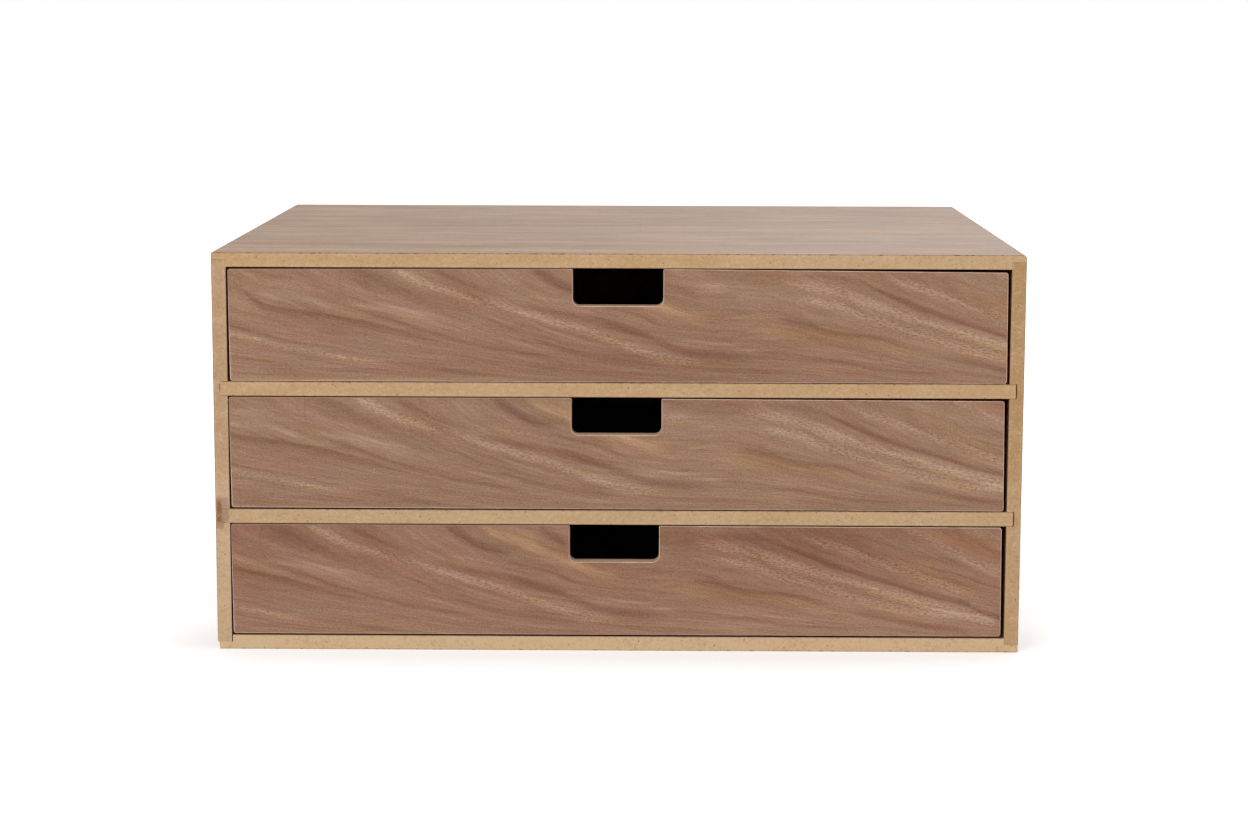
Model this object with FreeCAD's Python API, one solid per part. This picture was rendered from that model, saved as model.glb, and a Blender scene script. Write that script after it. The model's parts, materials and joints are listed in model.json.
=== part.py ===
# Desk-top drawer unit: a case of veneered fibreboard with three drawers that pull out.
# Units are millimetres. +Z is up, -Y is the front, and X runs left to right as seen from the front.
# The origin is on the surface that the unit stands on, under the middle of the case.
import FreeCAD, Part
import os

Vector = FreeCAD.Vector

# Case. A board is a fibre core with thin veneer on each face.
case_width = 360.0
case_depth = 300.0
case_height = 179.0
board = 6.4
end_rabbet_depth = 3.2       # cut into the ends of the top and bottom, where the sides seat
shelf_groove_depth = 3.2     # cut into the sides, where the shelf ends seat
shelf_end_slack = 0.4        # left open at the right end of each shelf
joint_gap = 0.08             # glue line over each shelf end and at the head and foot of each side
shoulder_slack = 0.45        # left open between the left side and the bottom's shoulder
bottom_end_setback = 0.6     # how far the bottom's left end stops short of the side's face
bottom_end_slope = 0.5       # how much further it is sanded back at the underside
top_left_radius = 0.6        # sanded arris at the left end of the top
top_right_radius = 1.4       # the same at the right end
bottom_right_radius = 0.7    # sanded arris at the right end of the bottom
side_foot_radius = 0.6       # sanded corner at the foot of each side

# Back panel, let into a rabbet all round the back of the case and pinned there.
back_thickness = 3.0
back_lap = 3.2               # how far the panel laps onto each board
back_fit = 0.2               # gap round the panel in its rabbet

# Drawers, from the lowest up. At rest each has slid sideways by a share of its side gap,
# where -1 is against the left side of the case.
drawer_names = ("lower", "middle", "upper")
drawer_side_gap = 1.1        # play on each side when a drawer is centred in its bay
drawer_rest_shares = (-0.55, -0.51, -0.2)
drawer_recess = 0.3          # the fronts stand this far behind the case's front edges

# Drawer fronts are the same board as the case. They are trimmed by hand, so the gap round each
# one differs: above, at the left end, both sides of the notch and the right end; below, at the
# left end, the middle and the right end. Their ends lean to the left over the front's height.
front_gaps_above = ((0.35, 0.4, 0.45, 0.55), (0.45, 0.35, 0.6, 1.05), (0.85, 0.3, 0.3, 1.35))
front_gaps_below = ((0.65, 0.25, 0.7), (0.7, 0.25, 0.3), (0.25, 0.2, 0.25))
front_leans = (0.45, 0.6, 0.4)
front_corner_radius = 1.2
front_arris_radius = 0.4
front_lip = 3.2              # thickness left in front of the drawer sides

# Finger notch in the top edge of each front, off the front's middle by its own shift.
notch_width = 40.0
notch_depth = 16.5
notch_shifts = (-0.9, -0.1, 0.1)
notch_floor_radius = 3.0
notch_mouth_radius = 0.6

# Drawer box behind the front: thinner board, running on its own side edges.
box_board = 5.0
box_top_clearance = 2.5      # between the box and the shelf above
floor_thickness = 3.0
floor_lip = 3.0              # side board left under the floor
floor_groove_depth = 2.2
floor_fit = 0.15             # gap over and round the floor in its grooves

# Pins through the back panel into the case. Their places are shares of the inside half width
# along the top, the bottom and the shelves, and of the inside height up each side.
panel_pin_radius = 0.6
panel_pin_length = 15.0
panel_pin_head_radius = 1.2
panel_pin_head_height = 0.5
panel_pin_row_shares = (-0.92, -0.34, 0.34, 0.92)
panel_pin_shelf_shares = (-0.55, 0.55)
panel_pin_side_shares = (0.17, 0.83)

# Brads through the drawer sides into the front and the back of the box, at shares of its height.
brad_radius = 0.4
brad_length = 14.0
brad_head_radius = 0.7
brad_head_height = 0.3
brad_height_shares = (0.3, 0.8)

pin_fit = 0.03               # radial gap round every pin and brad
overrun = 1.0                # how far each cut runs past the face that it starts from
same_place = 1e-6            # two coordinates closer than this are the same

# Planes of the case.
half_width = case_width / 2
front_plane = -case_depth / 2
back_plane = case_depth / 2
inner_half = half_width - board
back_panel_face = back_plane - back_thickness
top_underside = case_height - board
bay_height = (case_height - board * (len(drawer_names) + 1)) / len(drawer_names)
foot_seat = board - end_rabbet_depth
head_seat = top_underside + end_rabbet_depth
pocket_half = inner_half + back_lap
pocket_low = board - back_lap
pocket_high = top_underside + back_lap

# Planes of a drawer, with its own middle at X 0 and the surface that it runs on at Z 0.
front_face = front_plane + drawer_recess
front_back = front_face + board
front_half = inner_half - drawer_side_gap
box_inner_half = front_half - box_board
box_start = front_face + front_lip
box_end = back_panel_face
box_height = bay_height - box_top_clearance
floor_top = floor_lip + floor_thickness


def bay_floor(index):
    """Height of the surface that drawer number index runs on."""
    return board + index * (bay_height + board)


def drawer_middle(index):
    """Where the middle of drawer number index is at rest, along X."""
    return drawer_rest_shares[index] * drawer_side_gap


def block(x_span, y_span, z_span):
    """Box between two places on each axis, given in either order."""
    spans = [sorted(span) for span in (x_span, y_span, z_span)]
    sizes = [high - low for low, high in spans]
    return Part.makeBox(*sizes, Vector(*[low for low, high in spans]))


def extruded(corners, y_span):
    """Solid between two places on Y with straight sides through the given (x, z) corners."""
    start, end = y_span
    points = [Vector(x, start, z) for x, z in corners]
    outline = Part.makePolygon([*points, points[0]])
    return Part.Face(outline).extrude(Vector(0, end - start, 0))


def cut_all(solid, tools):
    """The solid with every tool cut out of it."""
    for tool in tools:
        solid = solid.cut(tool)
    return solid


def long_edges(solid, x, z):
    """The edges that run front to back at the given x and z."""
    return [
        edge for edge in solid.Edges
        if all(abs(end.X - x) < same_place and abs(end.Z - z) < same_place for end in edge.Vertexes)
    ]


def pin(head_face, direction, radius, length, head_radius, head_height, gap=0.0):
    """Headed pin driven from head_face along direction. With a gap, the hole that it is driven into."""
    shank = Part.makeCylinder(radius + gap, length + gap, head_face, direction)
    head = Part.makeCylinder(head_radius + gap, head_height + gap, head_face, direction)
    solid = shank.fuse(head)
    if gap:
        start = head_face - direction * overrun
        solid = solid.fuse(Part.makeCylinder(head_radius + gap, overrun, start, direction))
    return solid


def panel_pin_places():
    """Where the panel pins enter the back of the unit, as (x, z)."""
    lap_middle = back_lap / 2
    inside_height = top_underside - board
    places = []
    for share in panel_pin_row_shares:
        places.append((share * inner_half, top_underside + lap_middle))
        places.append((share * inner_half, board - lap_middle))
    for share in panel_pin_side_shares:
        for side in (-1, 1):
            places.append((side * (inner_half + lap_middle), board + share * inside_height))
    for index in range(1, len(drawer_names)):
        for share in panel_pin_shelf_shares:
            places.append((share * inner_half, bay_floor(index) - board / 2))
    return places


def panel_pins(gap=0.0):
    """The panel pins, or their holes if a gap is given."""
    return [
        pin(Vector(x, back_plane, z), Vector(0, -1, 0), panel_pin_radius, panel_pin_length,
            panel_pin_head_radius, panel_pin_head_height, gap)
        for x, z in panel_pin_places()
    ]


def brads(gap=0.0):
    """The brads of one drawer, or their holes if a gap is given."""
    joint_middles = ((box_start + front_back) / 2, box_end - box_board / 2)
    return [
        pin(Vector(side * front_half, y, share * box_height), Vector(-side, 0, 0), brad_radius, brad_length,
            brad_head_radius, brad_head_height, gap)
        for side in (-1, 1)
        for y in joint_middles
        for share in brad_height_shares
    ]


def back_pocket():
    """The rabbet round the back of the case, which all four boards share."""
    return block(
        (-pocket_half, pocket_half),
        (back_panel_face, back_plane + overrun),
        (pocket_low, pocket_high),
    )


def top_panel():
    """Top board: rabbeted underneath at both ends, where it caps the sides."""
    corners = [
        (-half_width, case_height),
        (half_width, case_height),
        (half_width, head_seat),
        (inner_half, head_seat),
        (inner_half, top_underside),
        (-inner_half, top_underside),
        (-inner_half, head_seat),
        (-half_width, head_seat),
    ]
    solid = extruded(corners, (front_plane, back_plane))
    solid = solid.makeFillet(top_left_radius, long_edges(solid, -half_width, case_height))
    solid = solid.makeFillet(top_right_radius, long_edges(solid, half_width, case_height))
    return cut_all(solid, [back_pocket(), *panel_pins(pin_fit)])


def bottom_panel():
    """Bottom board: rabbeted on top at both ends, where the sides stand on it."""
    left_end = -half_width + bottom_end_setback
    left_shoulder = -inner_half + shoulder_slack
    corners = [
        (left_end + bottom_end_slope, 0),
        (half_width, 0),
        (half_width, foot_seat),
        (inner_half, foot_seat),
        (inner_half, board),
        (left_shoulder, board),
        (left_shoulder, foot_seat),
        (left_end, foot_seat),
    ]
    solid = extruded(corners, (front_plane, back_plane))
    solid = solid.makeFillet(bottom_right_radius, long_edges(solid, half_width, 0))
    return cut_all(solid, [back_pocket(), *panel_pins(pin_fit)])


def side_panel(side):
    """Side board, with a groove across its inner face for each shelf. side is -1 for left, 1 for right."""
    foot = foot_seat
    head = head_seat - joint_gap
    solid = block((side * inner_half, side * half_width), (front_plane, back_plane), (foot, head))
    solid = solid.makeFillet(side_foot_radius, long_edges(solid, side * half_width, foot))
    grooves = [
        block(
            (side * (inner_half - overrun), side * (inner_half + shelf_groove_depth)),
            (front_plane - overrun, back_plane + overrun),
            (bay_floor(index) - board, bay_floor(index) + joint_gap),
        )
        for index in range(1, len(drawer_names))
    ]
    return cut_all(solid, [*grooves, back_pocket(), *panel_pins(pin_fit)])


def shelf(index):
    """Shelf under drawer number index, housed in the sides and stopping at the back panel."""
    solid = block(
        (-inner_half - shelf_groove_depth, inner_half + shelf_groove_depth - shelf_end_slack),
        (front_plane, back_panel_face),
        (bay_floor(index) - board, bay_floor(index)),
    )
    return cut_all(solid, panel_pins(pin_fit))


def back_panel():
    """Thin panel that closes and squares the case."""
    half = pocket_half - back_fit
    solid = block((-half, half), (back_panel_face, back_plane), (pocket_low + back_fit, pocket_high - back_fit))
    return cut_all(solid, panel_pins(pin_fit))


def front_blank(index):
    """Front board of drawer number index with its notch, and its corners and front arrises eased."""
    lean = front_leans[index] / 2
    low_left, low_middle, low_right = front_gaps_below[index]
    left_top, notch_left_top, notch_right_top, right_top = (
        bay_height - gap for gap in front_gaps_above[index]
    )
    notch_left = notch_shifts[index] - notch_width / 2
    notch_right = notch_shifts[index] + notch_width / 2
    notch_floor = (notch_left_top + notch_right_top) / 2 - notch_depth
    outer_corners = [
        (-front_half + lean, low_left),
        (front_half + lean, low_right),
        (front_half - lean, right_top),
        (-front_half - lean, left_top),
    ]
    notch_mouths = [(notch_right, notch_right_top), (notch_left, notch_left_top)]
    notch_corners = [(notch_right, notch_floor), (notch_left, notch_floor)]

    foot_middle = (lean, low_middle)
    corners = [
        outer_corners[0], foot_middle, outer_corners[1], outer_corners[2],
        notch_mouths[0], notch_corners[0], notch_corners[1], notch_mouths[1],
        outer_corners[3],
    ]
    solid = extruded(corners, (front_face, front_back))
    for places, radius in (
        (outer_corners, front_corner_radius),
        (notch_corners, notch_floor_radius),
        (notch_mouths, notch_mouth_radius),
    ):
        for x, z in places:
            solid = solid.makeFillet(radius, long_edges(solid, x, z))
    arrises = [edge for edge in solid.Edges if all(abs(end.Y - front_face) < same_place for end in edge.Vertexes)]
    return solid.makeFillet(front_arris_radius, arrises)


def drawer_front(index):
    """Front board, with a rabbet behind each end for the sides and a groove for the floor."""
    rabbets = [
        block(
            (side * box_inner_half, side * (inner_half + overrun)),
            (box_start, front_back + overrun),
            (-overrun, bay_height + overrun),
        )
        for side in (-1, 1)
    ]
    groove = block(
        (-front_half, front_half),
        (front_back - floor_groove_depth, front_back + overrun),
        (floor_lip, floor_top + floor_fit),
    )
    return cut_all(front_blank(index), [*rabbets, groove, *brads(pin_fit)])


def drawer_side(side):
    """Side of the box. Its lower edge runs on the shelf, and its groove holds the floor."""
    solid = block((side * box_inner_half, side * front_half), (box_start, box_end), (0, box_height))
    groove = block(
        (side * (box_inner_half - overrun), side * (box_inner_half + floor_groove_depth)),
        (box_start - overrun, box_end + overrun),
        (floor_lip, floor_top + floor_fit),
    )
    return cut_all(solid, [groove, *brads(pin_fit)])


def drawer_back():
    """Back of the box, between the sides. It meets the case's back panel when the drawer is shut."""
    solid = block((-box_inner_half, box_inner_half), (box_end - box_board, box_end), (0, box_height))
    groove = block(
        (-front_half, front_half),
        (box_end - box_board - overrun, box_end - box_board + floor_groove_depth),
        (floor_lip, floor_top + floor_fit),
    )
    return cut_all(solid, [groove, *brads(pin_fit)])


def drawer_floor():
    """Floor of the box, held in grooves on all four sides."""
    half = box_inner_half + floor_groove_depth - floor_fit
    start = front_back - floor_groove_depth + floor_fit
    end = box_end - box_board + floor_groove_depth - floor_fit
    return block((-half, half), (start, end), (floor_lip, floor_top))


def drawer(index):
    """All the pieces of one drawer, shut, as a dictionary of node name to shape."""
    place = Vector(drawer_middle(index), 0, bay_floor(index))
    pieces = {
        "front": drawer_front(index),
        "left_side": drawer_side(-1),
        "right_side": drawer_side(1),
        "back": drawer_back(),
        "floor": drawer_floor(),
        "brads": Part.makeCompound(brads()),
    }
    name = drawer_names[index]
    return {f"{name}_drawer_{piece}": shape.translated(place) for piece, shape in pieces.items()}


def all_nodes():
    """Every piece of the unit, as a dictionary of node name to shape."""
    nodes = {
        "top_panel": top_panel(),
        "bottom_panel": bottom_panel(),
        "left_side_panel": side_panel(-1),
        "right_side_panel": side_panel(1),
        "lower_shelf": shelf(1),
        "upper_shelf": shelf(2),
        "back_panel": back_panel(),
        "back_panel_pins": Part.makeCompound(panel_pins()),
    }
    for index in range(len(drawer_names)):
        nodes.update(drawer(index))
    return nodes


def main():
    os.makedirs("parts", exist_ok=True)
    for name, shape in all_nodes().items():
        shape.exportStep(os.path.join("parts", name + ".step"))
        print(f"{name}: {len(shape.Solids)} solid(s), {shape.Volume:.0f} mm3, valid {shape.isValid()}")


main()
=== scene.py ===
# Desk-top drawer unit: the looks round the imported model.
# Objects and the studio are in metres, in the model's own frame. The camera's place, the boards' values and
# what is placed in materials are in millimetres: X runs left to right, Y front to back and Z up. A drawer
# front's figure is measured on that front.
import json
import math

import bmesh
import bpy
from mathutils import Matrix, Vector

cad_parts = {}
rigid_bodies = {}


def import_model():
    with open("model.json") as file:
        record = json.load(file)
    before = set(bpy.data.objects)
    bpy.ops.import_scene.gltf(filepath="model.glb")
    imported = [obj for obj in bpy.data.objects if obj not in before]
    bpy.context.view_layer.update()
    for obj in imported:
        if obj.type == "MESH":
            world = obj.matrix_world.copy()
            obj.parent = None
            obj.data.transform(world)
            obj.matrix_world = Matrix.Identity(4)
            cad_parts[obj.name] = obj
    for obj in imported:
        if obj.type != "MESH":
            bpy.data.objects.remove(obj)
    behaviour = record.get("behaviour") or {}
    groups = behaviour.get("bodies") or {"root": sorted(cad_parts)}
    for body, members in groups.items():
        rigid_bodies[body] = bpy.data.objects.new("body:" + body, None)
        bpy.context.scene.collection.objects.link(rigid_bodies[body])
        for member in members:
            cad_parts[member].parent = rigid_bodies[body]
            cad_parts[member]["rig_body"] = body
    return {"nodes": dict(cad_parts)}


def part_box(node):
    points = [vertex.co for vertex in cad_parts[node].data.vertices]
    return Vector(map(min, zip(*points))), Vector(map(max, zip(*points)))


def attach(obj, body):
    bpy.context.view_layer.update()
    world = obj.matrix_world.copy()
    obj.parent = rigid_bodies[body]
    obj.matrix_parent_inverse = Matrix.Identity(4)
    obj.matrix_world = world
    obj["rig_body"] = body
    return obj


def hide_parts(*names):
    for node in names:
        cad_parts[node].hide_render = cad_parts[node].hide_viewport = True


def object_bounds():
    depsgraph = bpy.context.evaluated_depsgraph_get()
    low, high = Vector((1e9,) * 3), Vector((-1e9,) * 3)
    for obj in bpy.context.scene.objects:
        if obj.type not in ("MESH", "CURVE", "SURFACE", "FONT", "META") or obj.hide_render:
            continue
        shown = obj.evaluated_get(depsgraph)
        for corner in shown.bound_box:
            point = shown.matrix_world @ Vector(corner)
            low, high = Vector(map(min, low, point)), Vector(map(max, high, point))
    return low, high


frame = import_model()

cad_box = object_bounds()

mm = 0.001
nodes = frame["nodes"]
drawer_names = ("lower", "middle", "upper")

# Camera, at the photograph's place.
camera_place = (13.8, -1370.9, 286.6)
camera_turn = (81.629, -0.163, 0.546)
camera_lens = 80.08
camera_sensor = 36.0

# Studio. The floor is lifted at the unit, past its shadow, far off, and a little more beside and behind it.
# The lift is a painted glow: it is least in front of the unit, which keeps and deepens the shadow there as
# painted shade, and the extra lift beside and behind it paints out much of the shadow there.
ambient_strength = 0.66
floor_tone = 0.8
floor_lifts = (0.31, 0.12, 0.1, 0.135)
shadow_reach = 0.07
far_off = 0.7
floor_reach = 6.0
lamps = (
    # name, place, aim, size, watts
    ("key_lamp", (-0.7, -1.6, 1.5), (0.0, 0.0, 0.08), 1.3, 12.0),
    ("top_lamp", (0.2, 0.1, 1.7), (0.0, 0.0, 0.1), 1.5, 8.3),
    ("back_lamp", (0.45, 1.7, 1.1), (0.0, 0.0, 0.08), 1.2, 4.5),
)

# Boards. Their flat faces are made whole and their edges softened.
weld_distance = 0.002
flat_angle = 0.3
case_arris = 0.25
box_arris = 0.3
arris_steps = 2
same_plane = 0.02
front_arris_depth = 0.42
front_corner = 1.2
level_within = 2.0      # degrees off an axis at which a face still counts as flat
facing_within = 10.0    # degrees off an axis at which it still counts as a board's face, not its edge
pale_arris_facing = 0.6     # how far an arris face must look forward to be pale, sanded and with a painted highlight; the rest is darkened as painted shade

# Steps from tone to tone, in red, green and blue and along a ramp.
tone_step = (22, 24, 23)
tone_spacing = 0.2


def colour(red, green, blue):
    """Linear colour from screen values of 0 to 255, by the sRGB standard."""
    def linear(value):
        share = value / 255
        return share / 12.92 if share <= 0.04045 else ((share + 0.055) / 1.055) ** 2.4
    return (linear(red), linear(green), linear(blue), 1.0)


def tones(*middle):
    """Ramp stops from dark to light in equal steps, with the middle colour at a half."""
    stops = []
    for step in (-2, -1, 0, 1, 2):
        shade = [value + step * change for value, change in zip(middle, tone_step)]
        stops.append((0.5 + step * tone_spacing, colour(*shade)))
    return stops


# Colours of the wood and the steel, as they look on the real thing. The fronts' pale arris colour also holds
# a painted highlight.
walnut_tones = tones(157, 118, 93)
mauve_tones = tones(155, 115, 100)
tan_tones = tones(161, 119, 80)
red_tones = tones(166, 114, 92)
grey_tones = tones(147, 122, 97)
walnut_orange = colour(170, 116, 84)
walnut_bare = colour(156, 117, 93)
# Pale sanded walnut of the fronts' arris, and a painted highlight along it.
sanded_arris_and_highlight = colour(234, 204, 184)
fibre_light = colour(222, 194, 162)
fibre_dark = colour(158, 116, 70)
fibre_speck = colour(96, 62, 40)
veneer_edge = colour(120, 86, 64)
glue_rust = colour(150, 84, 48)
stain_rust = colour(140, 90, 50)
stain_haze = colour(156, 122, 104)
stain_tail = colour(160, 120, 90)
steel_tone = colour(176, 174, 170)
tarnish_tone = colour(136, 98, 76)

# Fibre of the boards' cores: two tints, and along which axis and from where to where they blend. The tints
# hold painted light: the bottom board is paler than the others, and the side boards grow paler towards their
# lower ends, as painted floor bounce light.
core_tints = {
    "top_panel": (colour(199, 161, 116), colour(202, 167, 126)),
    "upper_shelf": (colour(198, 161, 118),) * 2,
    "lower_shelf": (colour(200, 165, 125),) * 2,
    "bottom_panel": (colour(222, 189, 149),) * 2,
    "left_side_panel": (colour(190, 154, 118), colour(206, 173, 137)),
    "right_side_panel": (colour(184, 145, 101), colour(193, 156, 115)),
}
front_core_tints = (colour(206, 176, 146),) * 2
upright_painted_light_blend = (2, 92, 66)
level_blend = (0, 20, 110)
core_seed_step = 3.0
front_core_seed = 5.0

# How dark the torn edge of the veneer is along a board's low face and along its high one.
torn_lines = {
    "top_panel": (0.15, 0.9),
    "bottom_panel": (0.7, 0.3),
    "left_side_panel": (0.5, 0.12),
    "right_side_panel": (0.12, 0.5),
}
plain_lines = (0.15, 0.4)

# Bare fibreboard: the material's name, its tint and its seed.
bare_looks = {
    "box_board": ("bare_box", colour(190, 154, 116), 1.0),
    "floor_board": ("bare_floor", colour(176, 138, 100), 2.0),
    "back_board": ("bare_back", colour(172, 134, 96), 3.0),
}

# Noise layers of the veneers: size along the grain and across it, seed, detail and roughness.
front_layers = {
    "drift": (26, 11, 3, 3.0, 0.5),
    "ripple": (6, 2.2, 8, 2.0, 0.5),
    "broad": (52, 6, 14, 3.0, 0.55),
    "streaks": (26, 1.9, 20, 3.0, 0.6),
    "winding": (44, 3.1, 22, 2.0, 0.6),
    "hue": (50, 8, 34, 3.0, 0.5),
    "blush": (40, 5, 40, 3.0, 0.5),
    "own": (12, 0.9, 7, 3.0, 0.65),
    "flat": (13, 0.9, 9, 2.0, 0.6),
    "ticks": (1.7, 0.55, 3, 1.0, 0.6),
    "grit": (0.9, 0.55, 0, 2.0, 0.8),
    "wander": (5, 3, 41, 1.0, 0.5),
    "pores": (2.4, 0.42, 43, 1.0, 0.4),
}
straight_layers = {
    "drift": (120, 30, 0, 2.0, 0.5),
    "clouds": (42, 34, 23, 3.0, 0.55),
    "broad": (150, 14, 3, 3.0, 0.55),
    "streaks": (50, 3.2, 7, 3.0, 0.6),
    "fine": (14, 0.8, 11, 2.0, 0.6),
    "grit": (0.9, 0.6, 17, 2.0, 0.7),
    "hue": (70, 26, 19, 3.0, 0.5),
    "blush": (50, 20, 29, 3.0, 0.5),
    "wander": (5, 3, 54, 1.0, 0.5),
    "pores": (3.5, 0.4, 56, 1.0, 0.4),
}
top_layers = {
    "patches": (16, 7, 91, 3.0, 0.6),
    "lines": (60, 6, 97, 2.0, 0.6),
}

# What each layer adds to the waver of the drawn streaks and of the grain, to the tone and to the relief.
front_waver = {"drift": 0.9, "ripple": 0.7}
grain_waver = {"drift": 4, "ripple": 0.5}
front_tone = {
    "broad": 0.44, "streaks": 0.36, "threads": -0.06, "lights": 0.17, "darks": -0.21, "ring": -0.06}
front_texture = {"own": 0.26, "flat": 0.14, "grit": 0.7, "pores": -0.07}
straight_waver = 9
straight_figure = {"broad": 0.4, "streaks": 0.42}
straight_texture = {"clouds": 0.3, "fine": 0.42, "grit": 0.5, "pores": -0.12}
straight_relief = {"grit": 0.3, "pores": -0.5}
top_tone = {"seam": 0.15, "beyond": -0.05, "lines": 0.45, "bands": 0.16, "streaks": -0.18}
# Painted shade: the top board's walnut is darkened to even out how the lamps light it, and the fronts'
# banded edges are darkened so that the gaps round the drawer fronts look darker.
top_painted_shade = -0.12
edge_painted_shade = -0.34

# What they add to the warmth, from mauve at -1 to tan at 1, and to the redness, from greyish to red.
front_warmth = {"tan": 1.5, "hue": 2.1}
front_blush = 1.5
straight_hue = 1.6
straight_blush = 1.1
top_streak_blush = 0.8

# How the figure breaks up the drawn streaks, and how thin and where its threads are.
streak_level = 0.95
light_break = 1.6
thread_width = 0.022
thread_parts = (-0.2, 0.25)

# Pores: the grain's slope under them, how far they wander off it, and where a dash starts in its noise.
pore_slope = 0.08
pore_wander = 1.6
pore_edge = (0.02, 0.16)

# The short flecks of the pored bands: their slope, where the light and the dark ones start, and their tones.
fleck_slope = 0.1
light_flecks = (0.0, -0.2)
dark_flecks = (0.0, 0.18)
fleck_tone = {"light": 0.12, "dark": -0.2, "all": 0.02}
pored_part = (0.1, 0.6)
orange_share = 0.6

# Relief and finish of the walnut. Roughness is a level and how much the grain or the fibre changes it.
relief_level = 0.7
relief_grit = 0.3
relief_pores = 0.3
relief_pored = 0.4
walnut_roughness = (0.52, 0.16)
walnut_specular = 0.42
walnut_relief = 0.06

# Lighter rim of a drawer front, from wear and a painted highlight, most at the lower left, and the part of
# the arris at the upper left that stays plain walnut, with neither pale sanding nor painted highlight.
wear_and_highlight_heights = (22, 6)
wear_and_highlight_places = (20, -150)
rim_width = (2.0, 0.2)
rim_wear_and_highlight = 0.18
plain_arris_heights = (24, 44)
plain_arris_places = (20, -60)
plain_arris_share = 0.85
arris_layers = {
    "wear_and_highlight": ((6, 6, 1), 3.0, 0.6),
    "grit": ((0.5, 0.5, 0.5), 1.0, 0.5),
}
arris_patches = (0.2, -0.25)
arris_grit = 0.3
patch_share = 0.6
arris_roughness = (0.5, 0.2)
arris_specular = 0.5

# Fibreboard: size of its noise layers along X, Y and Z, detail and roughness, and what they add to its tone.
fibre_layers = {
    "grit": ((0.7, 0.7, 0.6), 2.0, 0.8),
    "clumps": ((2.2, 2.2, 1.7), 2.0, 0.5),
    "clouds": ((22, 22, 8), 3.0, 0.6),
}
fibre_tone = {"grit": 1.25, "clumps": 0.65, "clouds": 0.6}
light_fibres = (-0.05, 0.65, 0.0, 0.9)
dark_fibres = (0.05, -0.65, 0.0, 0.8)
speck_spacing = 4.2
speck_size = (0.1, 0.05, 0.0, 0.7)
speck_grit = 0.1
fibre_roughness = (0.72, -0.2)
fibre_specular = 0.28
fibre_relief = 0.08

# Cut edge of a veneered board, by the depth under its nearer face: the torn line, and the pale fibre by it,
# which is a painted highlight along the arris.
edge_layers = {
    "tear": (1.1, 4, 3, 3.0, 0.7),
    "chips": (2.6, 5, 9, 1.0, 0.5),
}
line_tear = 0.5
line_depths = (0.52, 0.22)
line_chips = (0.0, 0.2, 0.5, 1.5)
pale_tear = 0.3
pale_start = (0.35, 0.6)
pale_end = (1.6, 0.7)
pale_share = 0.1
face_change = (-0.5, 0.5)

# Rusty stain where the lower shelf ends in the left side board. A fade is along which place, and from where
# to where.
stain_layers = {
    "ragged": (1.3, 1.3, 7, 3.0, 0.65),
    "streak": (0.7, 2.4, 19, 2.0, 0.6),
}
rough_reach = {"rough_x": ("x", 2), "wide_x": ("x", 3), "rough_z": ("z", 3.2)}
haze_fades = (("rough_z", 57.2, 58.6), ("rough_z", 70.0, 68.4), ("wide_x", -173.4, -174.8))
rust_fades = (
    ("rough_x", -176.6, -177.6), ("x", -179.6, -178.9), ("rough_z", 56.0, 59.4), ("rough_z", 69.4, 66.0))
tail_fades = (("rough_x", -175.6, -176.8), ("rough_z", 54.2, 55.6), ("z", 60.4, 59.0))
stain_front = (-148.5, -149.5)
haze_share = 0.62
haze_break = 0.6
tail_share = 0.62
rust_streaks = (-0.2, 0.05, 0.0, 0.85)

# Dark spot on the left side board by the upper shelf, and glue bows at the shelves' right ends.
spot_x = -176.9
spot_width = 0.45
spot_fades = (("rough_z", 116.6, 117.6), ("z", 120.9, 120.0))
spot_tear = 3.0
spot_share = 0.8
glue_x = 176.9
glue_bow = 0.5
glue_half_height = 3.6
glue_width = 0.32
glue_tear = 0.5
glue_ends = (3.9, 3.2)
glue_share = 0.85

# Steel of the pins.
tarnish_layer = ((0.5, 0.8, 0.5), 3.0, 0.6)
tarnish_parts = (-0.05, 0.2, 0.0, 0.5)
steel_roughness = (0.405, 0.25)

# Walnut figure of the drawer fronts. All are cut from neighbouring leaves, so they share one figure, which
# moves to the left from each front to the next one down. Paths are (x, height) on the upper front.
figure_shifts = {"upper": 0.0, "middle": 16.0, "lower": 37.0}
front_tones = {"upper": -0.01, "middle": 0.0, "lower": -0.035}
front_redness = {"upper": -0.04, "middle": -0.13, "lower": 0.08}
front_seeds = {"upper": 20.0, "middle": 10.0, "lower": 0.0}

# Where the figure sits a little higher or lower on a front: x, reach and lift.
figure_lifts = (
    ("upper", -25, 70, 1.7),
    ("upper", 110, 60, 0.6),
    ("lower", 72, 42, -1.7),
    ("lower", -100, 30, -0.7),
)

# Soft patches where a front is lighter or darker than the shared figure, partly the veneer's own tone and
# partly painted light and shade, such as the lower front's darker top and paler foot: x from the front's
# middle, height, reach along and up, and strength.
front_patches = (
    ("upper", 10, 6, 90, 17, -0.12),
    ("upper", -100, 40, 90, 20, -0.02),
    ("middle", -60, 18, 60, 20, -0.05),
    ("middle", 20, 30, 22, 10, 0.05),
    ("lower", 80, 46, 70, 13, -0.15),
    ("lower", -150, 48, 50, 12, -0.1),
    ("lower", 100, 3, 90, 11, 0.12),
    ("lower", -120, 3, 80, 9, 0.07),
)

# The grain's lines draw closer to each other and to the bottom edge towards the right, and how far they have
# turned down is (x, turn). Their height is measured from a level under the front, where they would meet.
grain_turns = ((-190, 0.0), (-90, 0.72), (30, 1.85), (75, 1.95), (130, 2.5), (215, 3.4))
grain_margin = 0.2
meeting_depth = 6.0
lowest_height = 1.0
grain_scale = 30.0

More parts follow.
